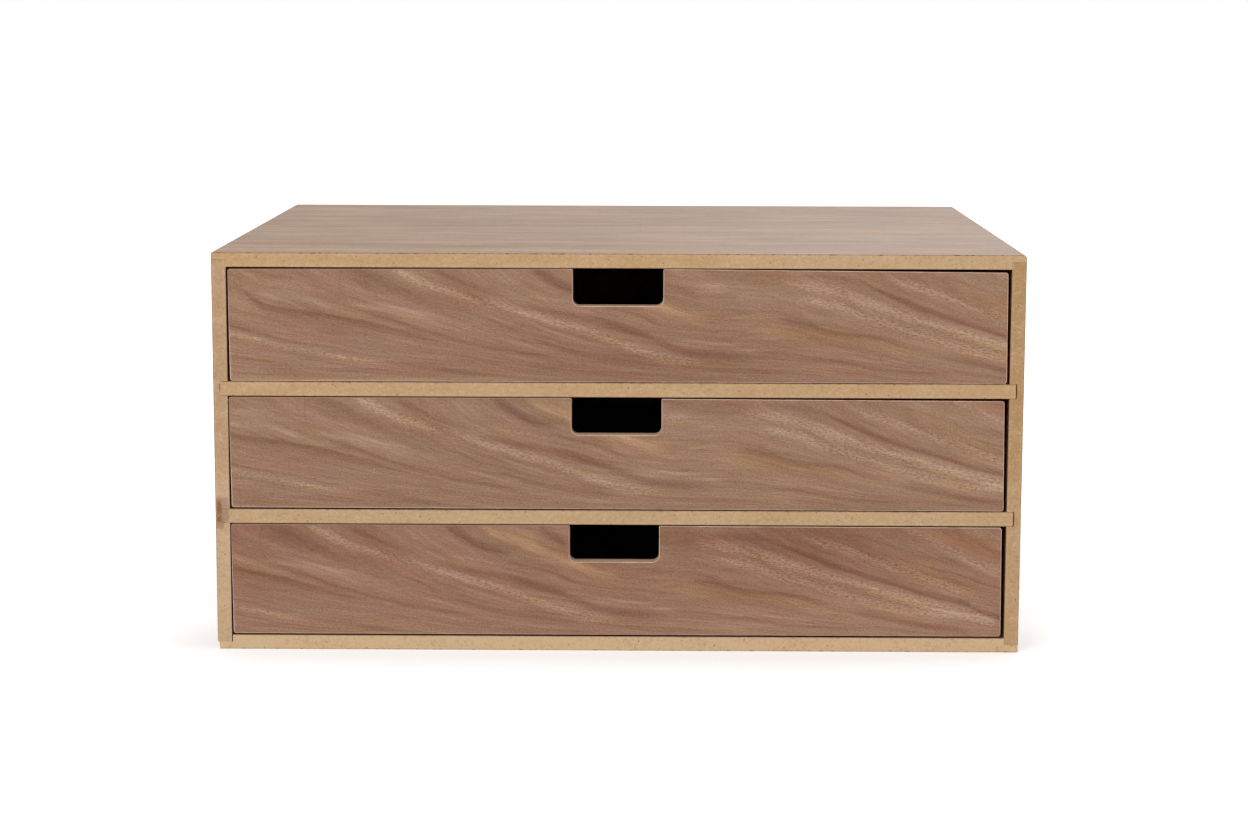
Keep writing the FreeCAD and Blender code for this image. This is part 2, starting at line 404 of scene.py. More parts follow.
# Dark streaks: path, reach above and below it, strength, and how far it fades in and out.
dark_streaks = (
    (((-174, 48), (-168, 42.5), (-161, 37), (-155, 33.8), (-146, 32.2), (-138, 31), (-128, 29.6),
      (-118, 27.6), (-108, 25.3), (-98, 23), (-88, 20.4), (-78, 18), (-62, 15.5)), 0.9, 2.4, 1.0, 16, 62),
    (((-114, 29.4), (-104, 28), (-96, 25.8), (-90, 23.4), (-82, 21.6), (-72, 19.2), (-60, 16.5)),
      0.9, 1.5, 0.6, 10, 26),
    (((-94, 21), (-87, 19.2), (-79, 17.6)), 0.4, 0.4, 0.4, 3, 6),
    (((-178, 26.4), (-168, 24), (-158, 21.3), (-148, 18.6), (-138, 16.8), (-126, 14.8), (-112, 12),
      (-98, 9.8)), 0.6, 0.7, 0.75, 1, 44),
    (((-178, 12.8), (-160, 9.6), (-140, 7.5)), 0.6, 0.6, 0.35, 2, 18),
    (((-152, 11.8), (-138, 10.2), (-126, 8.4), (-116, 6.4), (-104, 5), (-90, 4)), 0.5, 0.7, 0.55, 16, 18),
    (((-122, 47.5), (-106, 44.5), (-97, 41), (-88, 37.5), (-74, 33), (-58, 29)), 3.0, 3.0, 0.32, 12, 18),
    (((-86, 50.5), (-77, 47), (-70, 43.8), (-63, 40.8), (-54, 38), (-42, 34.6)), 1.6, 1.1, 0.7, 8, 22),
    (((-41, 50.5), (-34, 46), (-28, 42.6), (-22, 40.4), (-15, 38.6), (-6, 36.6)), 3.0, 2.0, 0.62, 6, 11),
    (((-30, 42.6), (-22, 40), (-13, 38.4)), 0.5, 0.5, 0.5, 4, 5),
    (((-16, 35.6), (-6, 32.8), (2, 31), (9, 29), (18, 25.6), (28, 22)), 0.5, 0.9, 0.55, 8, 16),
    (((-48, 34), (-36, 31.2), (-24, 28.8), (-12, 27), (-2, 24.2), (6, 21.8), (14, 19), (22, 15.8),
      (30, 13.3), (40, 12), (54, 11.8), (74, 12.7)), 1.7, 2.0, 0.8, 18, 30),
    (((-14, 26.4), (2, 23), (20, 16.6)), 3.2, 2.4, 0.34, 12, 14),
    (((-59, 27.4), (-52, 24.8), (-46, 21.8), (-39, 19.2)), 0.7, 0.8, 0.45, 6, 8),
    (((-40, 19), (-30, 15.4), (-22, 12.8), (-12, 10.6), (0, 9), (12, 7.6), (26, 6)), 0.8, 1.2, 0.58, 8, 24),
    (((-84, 5.6), (-72, 4), (-60, 2.6)), 0.8, 1.0, 0.4, 8, 9),
    (((-68, 15.8), (-52, 13), (-40, 11.2), (-26, 8)), 0.5, 0.7, 0.3, 14, 14),
    (((-162, 6.2), (-148, 4.6), (-132, 2.8)), 2.0, 2.0, 0.34, 13, 13),
    (((14, 48.4), (24, 43.5), (31, 39.5), (38, 35)), 3.2, 3.2, 0.46, 6, 5),
    (((1, 50.5), (8, 46.5), (15, 41.8)), 2.2, 2.2, 0.8, 4, 2),
    (((68, 28.8), (78, 27.2), (86, 25.4), (94, 23), (104, 21.4), (114, 20.4), (124, 18.2), (134, 15.6),
      (148, 12.8)), 0.8, 1.7, 0.75, 11, 30),
    (((76, 48.6), (88, 47.6), (98, 46.6), (108, 44.6), (115, 41.4)), 1.6, 1.5, 0.58, 9, 7),
    (((106, 44.4), (116, 40.2), (124, 36.8), (134, 32.8), (144, 29.8), (154, 26.8), (164, 23.6),
      (174, 20.2), (184, 17.8), (194, 15), (202, 11.4), (211, 9)), 1.6, 0.9, 1.0, 12, 2),
    (((189, 17.4), (193, 16.2), (197, 15)), 1.4, 1.0, 0.6, 3, 3),
    (((80, 10.5), (94, 10), (104, 8.4), (114, 6.4), (126, 5.2), (140, 4.6), (158, 3.5)),
      0.6, 0.9, 0.58, 14, 20),
    (((23, 7.6), (32, 6.4), (42, 5.2), (56, 4.3)), 0.8, 0.8, 0.4, 6, 12),
    (((60, 13.5), (72, 13), (82, 12), (96, 10.8)), 0.5, 0.5, 0.42, 8, 14),
    (((138, 12.6), (152, 10.8), (162, 8.8), (172, 6.4), (184, 4.8), (198, 3.2)), 1.3, 1.8, 0.52, 15, 9),
    (((162, 40.4), (171, 37.4), (179, 36), (187, 34.4), (196, 31.4)), 2.4, 1.9, 0.5, 10, 9),
    (((170, 35), (182, 31), (190, 29.2), (197, 26.6), (204, 24.2), (211, 22.8)), 0.5, 0.7, 0.75, 9, 1),
    (((181, 46), (190, 42.8), (198, 39.8), (204, 37.6), (211, 35.6)), 0.5, 0.6, 0.7, 7, 1),
    (((140, 47.4), (150, 45.4), (156, 43.2), (164, 41)), 0.7, 0.8, 0.45, 7, 6),
)

# Light bands, the same way.
light_bands = (
    (((-164, 40.6), (-150, 37.8), (-140, 36.6), (-128, 34.8), (-115, 33.8), (-104, 33), (-94, 31.2),
      (-84, 28.6), (-70, 25)), 1.8, 1.8, 0.8, 11, 26),
    (((-158, 45.4), (-145, 44), (-134, 43)), 2.6, 2.8, 0.24, 8, 10),
    (((-104, 52), (-96, 48.4), (-88, 44.6), (-80, 41.6), (-70, 38.2), (-60, 34.9), (-50, 31.8), (-40, 29.2),
      (-30, 26.4), (-20, 23.2), (-10, 20), (0, 16.6), (10, 13), (20, 10.6), (30, 8.8), (44, 6.2)),
      1.9, 1.9, 0.95, 6, 20),
    (((-101, 51), (-92, 46.5), (-83, 42.2)), 3.2, 2.6, 0.5, 4, 10),
    (((-178, 23), (-166, 20), (-156, 17.6), (-146, 15), (-134, 12.8), (-120, 10.8), (-108, 9), (-90, 6.3)),
      1.3, 1.3, 0.7, 2, 28),
    (((-88, 11.4), (-74, 9.2), (-62, 7), (-46, 3.6)), 1.0, 1.0, 0.4, 12, 12),
    (((-54, 18.8), (-42, 15.6), (-32, 12), (-22, 8.6), (-10, 5.6)), 1.2, 1.2, 0.45, 9, 12),
    (((-61, 51.4), (-50, 45.5), (-41, 41)), 3.0, 3.0, 0.34, 6, 8),
    (((-31, 50.4), (-18, 46), (-6, 44.6), (4, 41.6)), 3.4, 3.2, 0.7, 8, 5),
    (((-44, 37.5), (-32, 35.8), (-22, 34.4), (-12, 32.2), (0, 29.2)), 0.7, 0.9, 0.45, 10, 12),
    (((-10, 43), (2, 39.6), (10, 37), (18, 33.8), (26, 30.6), (34, 28), (43, 26.2)), 1.8, 2.0, 0.9, 9, 9),
    (((36, 26.9), (47, 27.6), (56, 29.6), (65, 30.8), (76, 29.8)), 0.6, 0.8, 0.42, 8, 9),
    (((32, 43), (42, 43), (54, 44)), 2.0, 2.2, 0.36, 8, 10),
    (((24, 17.8), (36, 17), (46, 16.4), (58, 14.8), (70, 13.8)), 1.5, 1.4, 0.46, 9, 14),
    (((52, 7.5), (66, 7), (78, 6.2), (90, 5.2), (104, 3.4)), 1.2, 1.3, 0.5, 11, 16),
    (((82, 12.9), (94, 12), (104, 10.8), (116, 9.4), (132, 7.8)), 0.7, 0.8, 0.42, 9, 14),
    (((68, 45.2), (80, 43.4), (90, 42.2), (100, 39.8), (110, 36), (120, 32.6), (132, 28.4), (144, 24.8),
      (156, 21), (168, 17.6), (180, 14.4), (192, 11.2), (208, 7.6)), 2.2, 2.2, 0.8, 12, 2),
    (((74, 37.6), (88, 36), (98, 34), (108, 29.4), (118, 26.4), (130, 22.8), (142, 19), (154, 15.6),
      (166, 13), (178, 11.4), (194, 9.8)), 1.8, 1.9, 0.74, 13, 10),
    (((78, 40.4), (100, 36), (120, 29.5), (140, 23), (160, 17.6), (180, 12.8), (208, 8.2)),
      5.5, 5.5, 0.3, 14, 4),
    (((116, 47), (128, 43.8), (138, 41), (148, 37.6), (158, 34), (168, 30.2), (180, 25.6), (192, 21.4),
      (209, 16.2)), 2.5, 2.6, 0.64, 10, 24),
    (((162, 52), (172, 47.4), (180, 44), (188, 40.4), (196, 35.6), (204, 32.4), (211, 30.4)),
      2.2, 2.3, 0.7, 6, 1),
    (((188, 49.2), (200, 47.6), (211, 46)), 2.0, 2.0, 0.3, 6, 1),
    (((-22, 4.4), (-6, 5), (6, 4.2), (22, 2.4)), 0.8, 0.8, 0.4, 10, 12),
)

# Bands with short dark pores, which are the light bands that the cutter met across the grain.
pored_bands = (2, 3, 4, 9, 12, 16, 17, 18, 19, 20)

# Tan bands, and the orange ones near the right end.
tan_bands = (
    (((58, 23.1), (72, 22.6), (84, 21.4), (96, 19.4), (108, 16.9), (120, 14.4), (132, 12.2), (144, 10.4),
      (162, 8.4)), 2.4, 2.2, 0.5, 16, 18),
    (((122, 19), (138, 16.4), (150, 14.4), (164, 12), (182, 9.4)), 1.0, 1.0, 0.35, 12, 14),
    (((-30, 50.6), (-14, 46.5), (-2, 43), (8, 38.6), (16, 35), (26, 31), (42, 28.2), (60, 28), (78, 27)),
      4.2, 3.6, 0.35, 8, 12),
    (((-48, 29), (-30, 24.6), (-14, 20.4), (0, 16.4), (14, 12.4)), 1.4, 1.6, 0.3, 12, 12),
    (((-178, 19.4), (-160, 16.5), (-138, 10.6)), 2.0, 2.0, 0.3, 2, 16),
    (((184, 46.4), (198, 44), (211, 41.6)), 3.0, 3.0, 0.4, 8, 1),
)
orange_bands = (
    (((170, 51), (180, 47), (190, 43), (200, 38.6), (211, 34.6)), 1.6, 1.6, 0.8, 7, 1),
    (((-72, 51), (-60, 44.6), (-48, 39)), 2.4, 2.4, 0.3, 8, 10),
    (((196, 29), (204, 26), (211, 24)), 1.6, 1.6, 0.5, 6, 1),
)

# Left arc of a growth ring at the upper left, and between which parts of its radius it comes in.
ring_x = -110.0
ring_height = 44.0
ring_radius = 13.0
ring_width = 0.45
ring_part = (-0.6, -0.9)

# The top board's figure, as (x, y), with the seam where its two leaves meet.
top_seam = 0.8
top_seam_slope = 0.085
seam_width = 1.3
seam_change = (-1, 1)
streak_patches = (-0.15, 0.1, 0.25, 1.0)
top_streaks = (
    (((-182, -99), (-140, -104), (-110, -108), (-60, -112), (-10, -112), (30, -108), (66, -100)),
      9, 7, 0.6, 12, 40),
    (((-80, -113.5), (-40, -114), (8, -111.5)), 3, 3, 0.5, 20, 24),
    (((-66, -78), (-20, -80), (20, -86), (58, -93)), 8, 6, 0.36, 24, 24),
    (((-38, 3.2), (0, 6), (35, 10), (70, 16), (114, 18.4)), 4, 3, 0.5, 16, 30),
    (((-160, 24), (-100, 25), (-36, 26)), 2.5, 2, 0.36, 12, 30),
    (((-34, 108), (40, 108), (110, 110), (182, 112)), 1.6, 1.6, 0.5, 14, 10),
    (((50, -74), (72, -75), (96, -78)), 3, 3, 0.4, 14, 14),
)
# Broad bands of lighter tone. The one at the back left is painted light, which evens out how the lamps light
# the top.
top_bands = (
    (((-182, -134), (-100, -133), (-50, -133), (10, -137)), 6, 6, 0.5, 1, 40),
    (((-182, -20), (-140, -20), (-90, -20)), 70, 70, 0.2, 1, 40),
    (((-182, 110), (-80, 110), (40, 110)), 55, 60, 0.5, 1, 90),
)

# A ridge ends this many reaches from its middle, and a band's reach changes from side to side within this.
ridge_foot = 1.7
reach_change = 0.1


class Value:
    """A number that varies over a surface. Sums of values add the shader nodes that work them out."""

    def __init__(self, socket):
        self.socket = socket
        self.tree = socket.id_data

    def __add__(self, other):
        return maths("ADD", self, other)

    __radd__ = __add__

    def __sub__(self, other):
        return maths("SUBTRACT", self, other)

    def __rsub__(self, other):
        return maths("SUBTRACT", other, self)

    def __mul__(self, other):
        return maths("MULTIPLY", self, other)

    __rmul__ = __mul__

    def __truediv__(self, other):
        return maths("DIVIDE", self, other)

    def __neg__(self):
        return self * -1.0


def plug(socket, value):
    """Gives a socket its input, which is a value, another socket or a plain number."""
    if isinstance(value, Value):
        value = value.socket
    if isinstance(value, bpy.types.NodeSocket):
        socket.id_data.links.new(value, socket)
    else:
        socket.default_value = value


def maths(operation, *inputs):
    """Value worked out from values and numbers."""
    tree = next(value.tree for value in inputs if isinstance(value, Value))
    node = tree.nodes.new("ShaderNodeMath")
    node.operation = operation
    for socket, value in zip(node.inputs, inputs):
        plug(socket, value)
    return Value(node.outputs[0])


def smaller(*values):
    return maths("MINIMUM", *values)


def larger(*values):
    return maths("MAXIMUM", *values)


def size_of(value):
    return maths("ABSOLUTE", value)


def root_of_squares(a, b):
    return maths("SQRT", a * a + b * b)


def fade(value, low, high, bottom, top):
    """The bottom value below low, the top value above high, and smooth between them."""
    node = value.tree.nodes.new("ShaderNodeMapRange")
    node.interpolation_type = "SMOOTHSTEP"
    for socket, number in zip(node.inputs, (value, low, high, bottom, top)):
        plug(socket, number)
    return Value(node.outputs["Result"])


def rise(value, start, end, first=0.0, last=1.0):
    """The first value before the start, the last one past the end, and smooth between them."""
    if start > end:
        return fade(value, end, start, last, first)
    return fade(value, start, end, first, last)


def ridge(distance, reach, height=1.0):
    """As high as height where the distance is 0, about a third of it a reach away, and then soon nothing."""
    return fade(size_of(distance), 0.0, reach * ridge_foot, height, 0.0)


def total(values):
    """Sum of values."""
    result = values[0]
    for value in values[1:]:
        result = result + value
    return result


def weighted(values, weights):
    """Sum of the named values, each times its weight."""
    return total([values[name] * weight for name, weight in weights.items()])


def faded(places, fades):
    """Product of fades, each along one of the named places from where to where."""
    result = 1.0
    for name, start, end in fades:
        result = rise(places[name], start, end) * result
    return result


def point(x, y, z):
    """Vector value from three values or numbers, of which the first is a value."""
    node = x.tree.nodes.new("ShaderNodeCombineXYZ")
    for socket, value in zip(node.inputs, (x, y, z)):
        plug(socket, value)
    return Value(node.outputs[0])


def noise(place, detail, roughness):
    """Smooth noise about 0, mostly from -0.5 to 0.5, with a feature about every unit of place."""
    node = place.tree.nodes.new("ShaderNodeTexNoise")
    node.inputs["Scale"].default_value = 1.0
    node.inputs["Detail"].default_value = detail
    node.inputs["Roughness"].default_value = roughness
    plug(node.inputs["Vector"], place)
    return Value(node.outputs[0]) - 0.5


def layer(row, along, across, seed=0.0):
    """Noise over a surface, from a row of a layer table."""
    length, width, row_seed, detail, roughness = row
    place = point(along / length, across / width, row_seed + seed)
    return noise(place, detail, roughness)


def solid_layer(row, place, seed=0.0):
    """Noise through a solid, from a row of a layer table."""
    sizes, detail, roughness = row
    x, y, z = [value / size for value, size in zip(place, sizes)]
    return noise(point(x, y, z + seed), detail, roughness)


def cells(place):
    """Distance to the nearest of scattered points, about one to each unit of place."""
    node = place.tree.nodes.new("ShaderNodeTexVoronoi")
    node.inputs["Scale"].default_value = 1.0
    plug(node.inputs["Vector"], place)
    return Value(node.outputs["Distance"])


def bend(x, points, margin=4.0):
    """Smooth curve through given points (x, height), as a value over x. It is level past its ends."""
    xs, heights = zip(*points)
    low_x, width = min(xs), max(xs) - min(xs)
    low, reach = min(heights) - margin, max(heights) - min(heights) + 2 * margin
    places = [((px - low_x) / width, (height - low) / reach) for px, height in points]
    node = x.tree.nodes.new("ShaderNodeFloatCurve")
    curve = node.mapping.curves[0]
    curve.points[0].location, curve.points[1].location = places[:2]
    for place in places[2:]:
        curve.points.new(*place)
    node.mapping.update()
    plug(node.inputs["Value"], maths("MULTIPLY_ADD", x, 1 / width, -low_x / width))
    return maths("MULTIPLY_ADD", Value(node.outputs[0]), reach, low)


def mixed(share, first, second):
    """Colour socket: first where share is 0 and second where it is 1."""
    node = share.tree.nodes.new("ShaderNodeMix")
    node.data_type = "RGBA"
    # The node has sockets for each kind of data. These are its factor and its two colours.
    for number, value in ((0, share), (6, first), (7, second)):
        plug(node.inputs[number], value)
    return node.outputs[2]


def ramp(value, stops):
    """Colour socket that runs through the stops, which are (place, colour)."""
    node = value.tree.nodes.new("ShaderNodeValToRGB")
    elements = node.color_ramp.elements
    while len(elements) < len(stops):
        elements.new(1.0)
    for element, (place, tone) in zip(elements, stops):
        element.position = place
        element.color = tone
    plug(node.inputs[0], value)
    return node.outputs[0]


def empty_tree(owner):
    owner.use_nodes = True
    owner.node_tree.nodes.clear()
    return owner.node_tree


def show_surface(tree, kind, shader):
    """Makes a shader the surface of its material or world."""
    output = tree.nodes.new(f"ShaderNodeOutput{kind}")
    tree.links.new(shader.outputs[0], output.inputs["Surface"])


def new_material(name):
    """Material, its principled shader, and the place of its surface."""
    material = bpy.data.materials.new(name)
    tree = empty_tree(material)
    shader = tree.nodes.new("ShaderNodeBsdfPrincipled")
    show_surface(tree, "Material", shader)
    return material, shader, surface_place(tree)


def surface_place(tree):
    """X, Y and Z of the surface in millimetres, in the piece's own frame."""
    coordinates = tree.nodes.new("ShaderNodeTexCoord")
    split = tree.nodes.new("ShaderNodeSeparateXYZ")
    tree.links.new(coordinates.outputs["Object"], split.inputs[0])
    return [Value(socket) / mm for socket in split.outputs]


def finish(shader, base, broken, roughness, setting, number):
    """Gives a shader its colour, a roughness broken up by a value, and one number for one more setting."""
    level, change = roughness
    plug(shader.inputs["Base Color"], base)
    plug(shader.inputs["Roughness"], broken * change + level)
    shader.inputs[setting].default_value = number


def add_bump(shader, height, depth):
    """Relief from a value of 0 to 1, as deep as depth in millimetres."""
    node = height.tree.nodes.new("ShaderNodeBump")
    node.inputs["Strength"].default_value = 1.0
    node.inputs["Distance"].default_value = depth * mm
    plug(node.inputs["Height"], height)
    plug(shader.inputs["Normal"], node.outputs[0])


def band(x, height, path, above, below, strength, fade_in, fade_out):
    """How strongly one streak or band shows at a place on the figure."""
    start, end = path[0][0], path[-1][0]
    offset = height - bend(x, path)
    reach = above if above == below else rise(offset, -reach_change, reach_change, below, above)
    ends = rise(x, start, start + fade_in) * rise(x, end, end - fade_out)
    return ridge(offset, reach, strength) * ends


def bands(x, height, rows):
    return total([band(x, height, *row) for row in rows])


def grain_place(x, height, layers):
    """Place across the grain of a drawer front, whose lines close in on the bottom edge to the right."""
    raised = larger(height + meeting_depth, lowest_height)
    turned = maths("LOGARITHM", raised, math.e) + bend(x, grain_turns, grain_margin)
    return turned * grain_scale + weighted(layers, grain_waver)


def growth_ring(x, height):
    """1 on the arc of the growth ring, and 0 off it."""
    from_ring = root_of_squares(x - ring_x, height - ring_height) - ring_radius
    part_start, part_end = [ring_x + part * ring_radius for part in ring_part]
    return ridge(from_ring, ring_width) * rise(x, part_start, part_end)


def front_figure(x, height):
    """The figure that the fronts share: its tone, hues and pored part, and the place across its grain."""
    layers = {name: layer(front_layers[name], x, height) for name in ("drift", "ripple")}
    wavy = height + weighted(layers, front_waver)
    grain = grain_place(x, height, layers)
    for name in ("broad", "streaks", "winding", "hue", "blush"):
        layers[name] = layer(front_layers[name], x, grain)
    broad, streaks = layers["broad"], layers["streaks"]
    layers["threads"] = ridge(layers["winding"], thread_width) * rise(broad + streaks, *thread_parts)
    lights = [band(x, wavy, *row) for row in light_bands]
    layers["lights"] = total(lights) * (streaks * light_break + streak_level)
    layers["darks"] = bands(x, wavy, dark_streaks) * (streaks + streak_level)
    layers["ring"] = growth_ring(x, height)
    layers["tan"] = bands(x, wavy, tan_bands)
    return {
        "tone": weighted(layers, front_tone) + 0.5,
        "warmth": weighted(layers, front_warmth),
        "redness": layers["blush"] * front_blush,
        "orange": bands(x, wavy, orange_bands),
        "pored": rise(total([lights[number] for number in pored_bands]), *pored_part),
        "grain": grain,
    }


def pick(z, values):
    """The lower, middle or upper drawer's value, whichever front a height is on."""
    lower, middle, upper = [values[name] for name in drawer_names]
    above_lower, above_middle = [maths("GREATER_THAN", z, level) for level in shelf_middles]
    return above_lower * (middle - lower) + above_middle * (upper - middle) + lower


def on_front(z, name):
    """1 on the named drawer's front and 0 on the others."""
    return pick(z, {other: float(other == name) for other in drawer_names})


def pores(rows, along, across, seed):
    """Short dark dashes that nearly follow the grain, from 0 to 1."""
    wander = layer(rows["wander"], along, across, seed)
    tilted = across + along * pore_slope + wander * pore_wander
    return rise(layer(rows["pores"], along, tilted, seed), *pore_edge)


def flecks(x, height, seed):
    """What the short flecks add to the tone of the pored bands."""
    ticks = layer(front_layers["ticks"], x, height + x * fleck_slope, seed)
    light = rise(ticks, *light_flecks) * fleck_tone["light"]
    dark = rise(ticks, *dark_flecks) * fleck_tone["dark"]
    return light + dark + fleck_tone["all"]


def walnut_colour(tone, warmth, redness):
    """Colour socket of walnut from its tone, its warmth and its redness."""
    base = ramp(tone, walnut_tones)
    hues = ((-warmth, mauve_tones), (warmth, tan_tones), (-redness, grey_tones), (redness, red_tones))
    for share, shades in hues:
        base = mixed(share, base, ramp(tone, shades))
    return base


def finish_walnut(shader, base, relief, grit):
    """Thin satin finish over walnut."""
    finish(shader, base, grit, walnut_roughness, "Specular IOR Level", walnut_specular)
    add_bump(shader, relief, walnut_relief)


def low_left(across, height):
    """1 at a drawer front's lower left corner, where its rim and arris are palest from wear and a painted
    highlight, and 0 over the rest of it.
    """
    return rise(height, *wear_and_highlight_heights) * rise(across, *wear_and_highlight_places)


def front_lifts(x, z):
    """How much higher the shared figure sits at a place on its front."""
    return total([
        ridge(x - middle, reach, lift) * on_front(z, name) for name, middle, reach, lift in figure_lifts])


def front_tone_and_shade_patches(across, z, floors):
    """What the soft patches, partly painted light and shade, add to the tone."""
    clouds = []
    for name, middle, height, reach_along, reach_up, strength in front_patches:
        over = z - floors[name] - height
        clouds.append(ridge(across - middle, reach_along) * ridge(over, reach_up, strength))
    return total(clouds)


def front_veneer(floors, middles, lefts):
    """Veneer of the three drawer fronts, each with its own part of the shared figure and its own texture."""
    material, shader, (place_x, _, place_z) = new_material("walnut_front")
    seed = pick(place_z, front_seeds)
    across = place_x - pick(place_z, middles)
    x = across + pick(place_z, figure_shifts)
    height = place_z - pick(place_z, floors) - front_lifts(x, place_z)
    figure = front_figure(x, height)

    layers = {name: layer(front_layers[name], x, height, seed) for name in ("flat", "grit")}
    layers["own"] = layer(front_layers["own"], x, figure["grain"], seed)
    layers["pores"] = pores(front_layers, x, height, seed)
    rim = smaller(place_x - pick(place_z, lefts), height)
    # The rim at the lower left is lighter, from wear and a painted highlight.
    wear_and_highlight = rise(rim, *rim_width) * low_left(across, height) * rim_wear_and_highlight
    tone = total([
        figure["tone"], pick(place_z, front_tones), weighted(layers, front_texture),
        figure["pored"] * flecks(x, height, seed), front_tone_and_shade_patches(across, place_z, floors), wear_and_highlight])
    base = walnut_colour(tone, figure["warmth"], figure["redness"] + pick(place_z, front_redness))
    base = mixed(figure["orange"] * orange_share, base, walnut_orange)
    pits = layers["pores"] * (relief_pores + figure["pored"] * relief_pored)
    finish_walnut(shader, base, relief_level - pits + layers["grit"] * relief_grit, layers["grit"])
    return material


def straight_veneer(name, along_axes, across_axis, seed, contrast=1.0, length=2.4, warmth=0.0, redness=0.0,
                    painted_shade=0.0, own_figure=None):
    """Straight-grained walnut. own_figure gives what a board adds to the tone and the redness at a place.
    The shade setting darkens the whole tone, as painted shade.
    """
    material, shader, place = new_material(name)
    along = total([place[axis] for axis in along_axes])
    across = place[across_axis]
    stretched = along / length
    bent = across + layer(straight_layers["drift"], stretched, across, seed) * straight_waver
    rows = ("clouds", "broad", "streaks", "fine")
    layers = {row: layer(straight_layers[row], stretched, bent, seed) for row in rows}
    layers["grit"] = layer(straight_layers["grit"], along, across, seed)
    layers["pores"] = pores(straight_layers, along, across, seed)
    tone = weighted(layers, straight_figure) * contrast + weighted(layers, straight_texture) + 0.5 + painted_shade
    if own_figure:
        own_tone, own_redness = own_figure(along, across, bent)
        tone, redness = tone + own_tone, own_redness + redness
    hue = layer(straight_layers["hue"], along, bent, seed) * straight_hue + warmth
    blush = layer(straight_layers["blush"], along, bent, seed) * straight_blush + redness
    relief = weighted(layers, straight_relief) + relief_level
    finish_walnut(shader, walnut_colour(tone, hue, blush), relief, layers["grit"])
    return material


def top_figure(x, y, bent):
    """What the top board's streaks, bands and seam add to its tone and its redness. The band at the back
    left is painted light.
    """
    from_seam = y - top_seam - x * top_seam_slope
    patches = rise(layer(top_layers["patches"], x, bent), *streak_patches)
    layers = {
        "seam": ridge(from_seam, seam_width),
        "beyond": rise(from_seam, *seam_change),
        "lines": layer(top_layers["lines"], x, bent),
        "bands": bands(x, bent, top_bands),
        "streaks": bands(x, bent, top_streaks) * patches,
    }
    return weighted(layers, top_tone), layers["streaks"] * top_streak_blush


def fibre_colour(place, tint, seed):
    """Colour socket and tone of fibreboard: fine grit of light and dark fibres, with a few dark specks."""
    layers = {name: solid_layer(row, place, seed) for name, row in fibre_layers.items()}
    tone = weighted(layers, fibre_tone)
    lighter = mixed(rise(tone, *light_fibres), tint, fibre_light)
    darker = mixed(rise(tone, *dark_fibres), lighter, fibre_dark)
    x, y, z = [value / speck_spacing for value in place]
    scatter = cells(point(x, y, z + seed)) + layers["grit"] * speck_grit
    return mixed(rise(scatter, *speck_size), darker, fibre_speck), tone


def finish_fibre(shader, base, tone):
    """Bare or thinly sealed fibreboard."""
    finish(shader, base, tone, fibre_roughness, "Specular IOR Level", fibre_specular)
    add_bump(shader, tone + 0.5, fibre_relief)


def bare_board(name, tint, seed):
    """Fibreboard with no veneer."""
    material, shader, place = new_material(name)
    base, tone = fibre_colour(place, tint, seed)
    finish_fibre(shader, base, tone)
    return material


def torn_edge(base, across, run, seed, faces, lines):
    """Colour socket of a core, with pale fibre as a painted highlight and the veneer's torn line under each
    face, and the tear.
    """
    low, high = faces
    low_line, high_line = lines
    depth = smaller(across - low, high - across)
    tear = layer(edge_layers["tear"], run, across, seed)
    chips = layer(edge_layers["chips"], run, across, seed)
    # Painted highlight: pale fibre just under each face.
    painted_highlight = rise(depth + tear * pale_tear, *pale_start) * rise(depth, *pale_end)
    strength = rise(across - (low + high) / 2, *face_change, low_line, high_line)
    line = rise(depth + tear * line_tear, *line_depths) * strength * rise(chips, *line_chips)
    base = mixed(painted_highlight * pale_share, base, fibre_light)
    return mixed(line, base, veneer_edge), tear


def board_core(name, tints, blend, seed, axis, faces, lines=plain_lines, marks=None):
    """Cut edge of a veneered board. axis is across the board, and faces are its two face planes.

    blend says along which axis and from where to where the first tint goes over into the second. On the side
    boards it makes their lower ends paler, as painted floor bounce light."""
    material, shader, place = new_material(name)
    blend_axis, start, end = blend
    tint = mixed(rise(place[blend_axis], start, end), *tints)
    base, tone = fibre_colour(place, tint, seed)
    run = total([place[number] for number in range(3) if number != axis])
    base, tear = torn_edge(base, place[axis], run, seed, faces, lines)
    if marks:
        base = marks(place, base, tear)
    finish_fibre(shader, base, tone)
    return material


def stain(place, base, _):
    """Rusty stain on the front edge, where the lower shelf ends in the left side board."""
    x, y, z = place
    ragged = layer(stain_layers["ragged"], x, z)
    streak = layer(stain_layers["streak"], x, z)
    places = {"x": x, "z": z}
    for name, (plain, reach) in rough_reach.items():
        places[name] = places[plain] + ragged * reach
    front = rise(y, *stain_front)
    haze = faded(places, haze_fades) * (ragged * haze_break + haze_share)
    tail = faded(places, tail_fades) * tail_share
    rust = faded(places, rust_fades) * rise(streak, *rust_streaks)
    for share, tone in ((haze, stain_haze), (tail, stain_tail), (rust, stain_rust)):
        base = mixed(front * share, base, tone)
    return base


def left_side_marks(place, base, tear):
    """Stain and dark spot on the front edge of the left side board."""
    x, _, z = place
    places = {"z": z, "rough_z": z + tear * spot_tear}
    spot = ridge(x - spot_x, spot_width, spot_share) * faded(places, spot_fades)
    return mixed(spot, stain(place, base, tear), veneer_edge)


def right_side_marks(place, base, tear):
    """Glue squeezed out where the shelves end in the right side board."""
    x, _, z = place
    for shelf_middle in shelf_middles:
        offset = z - shelf_middle
        share = offset / glue_half_height
        edge = glue_x - share * share * glue_bow
        glue = ridge(x - edge + tear * glue_tear, glue_width, glue_share) * rise(size_of(offset), *glue_ends)
        base = mixed(glue, base, glue_rust)
    return base


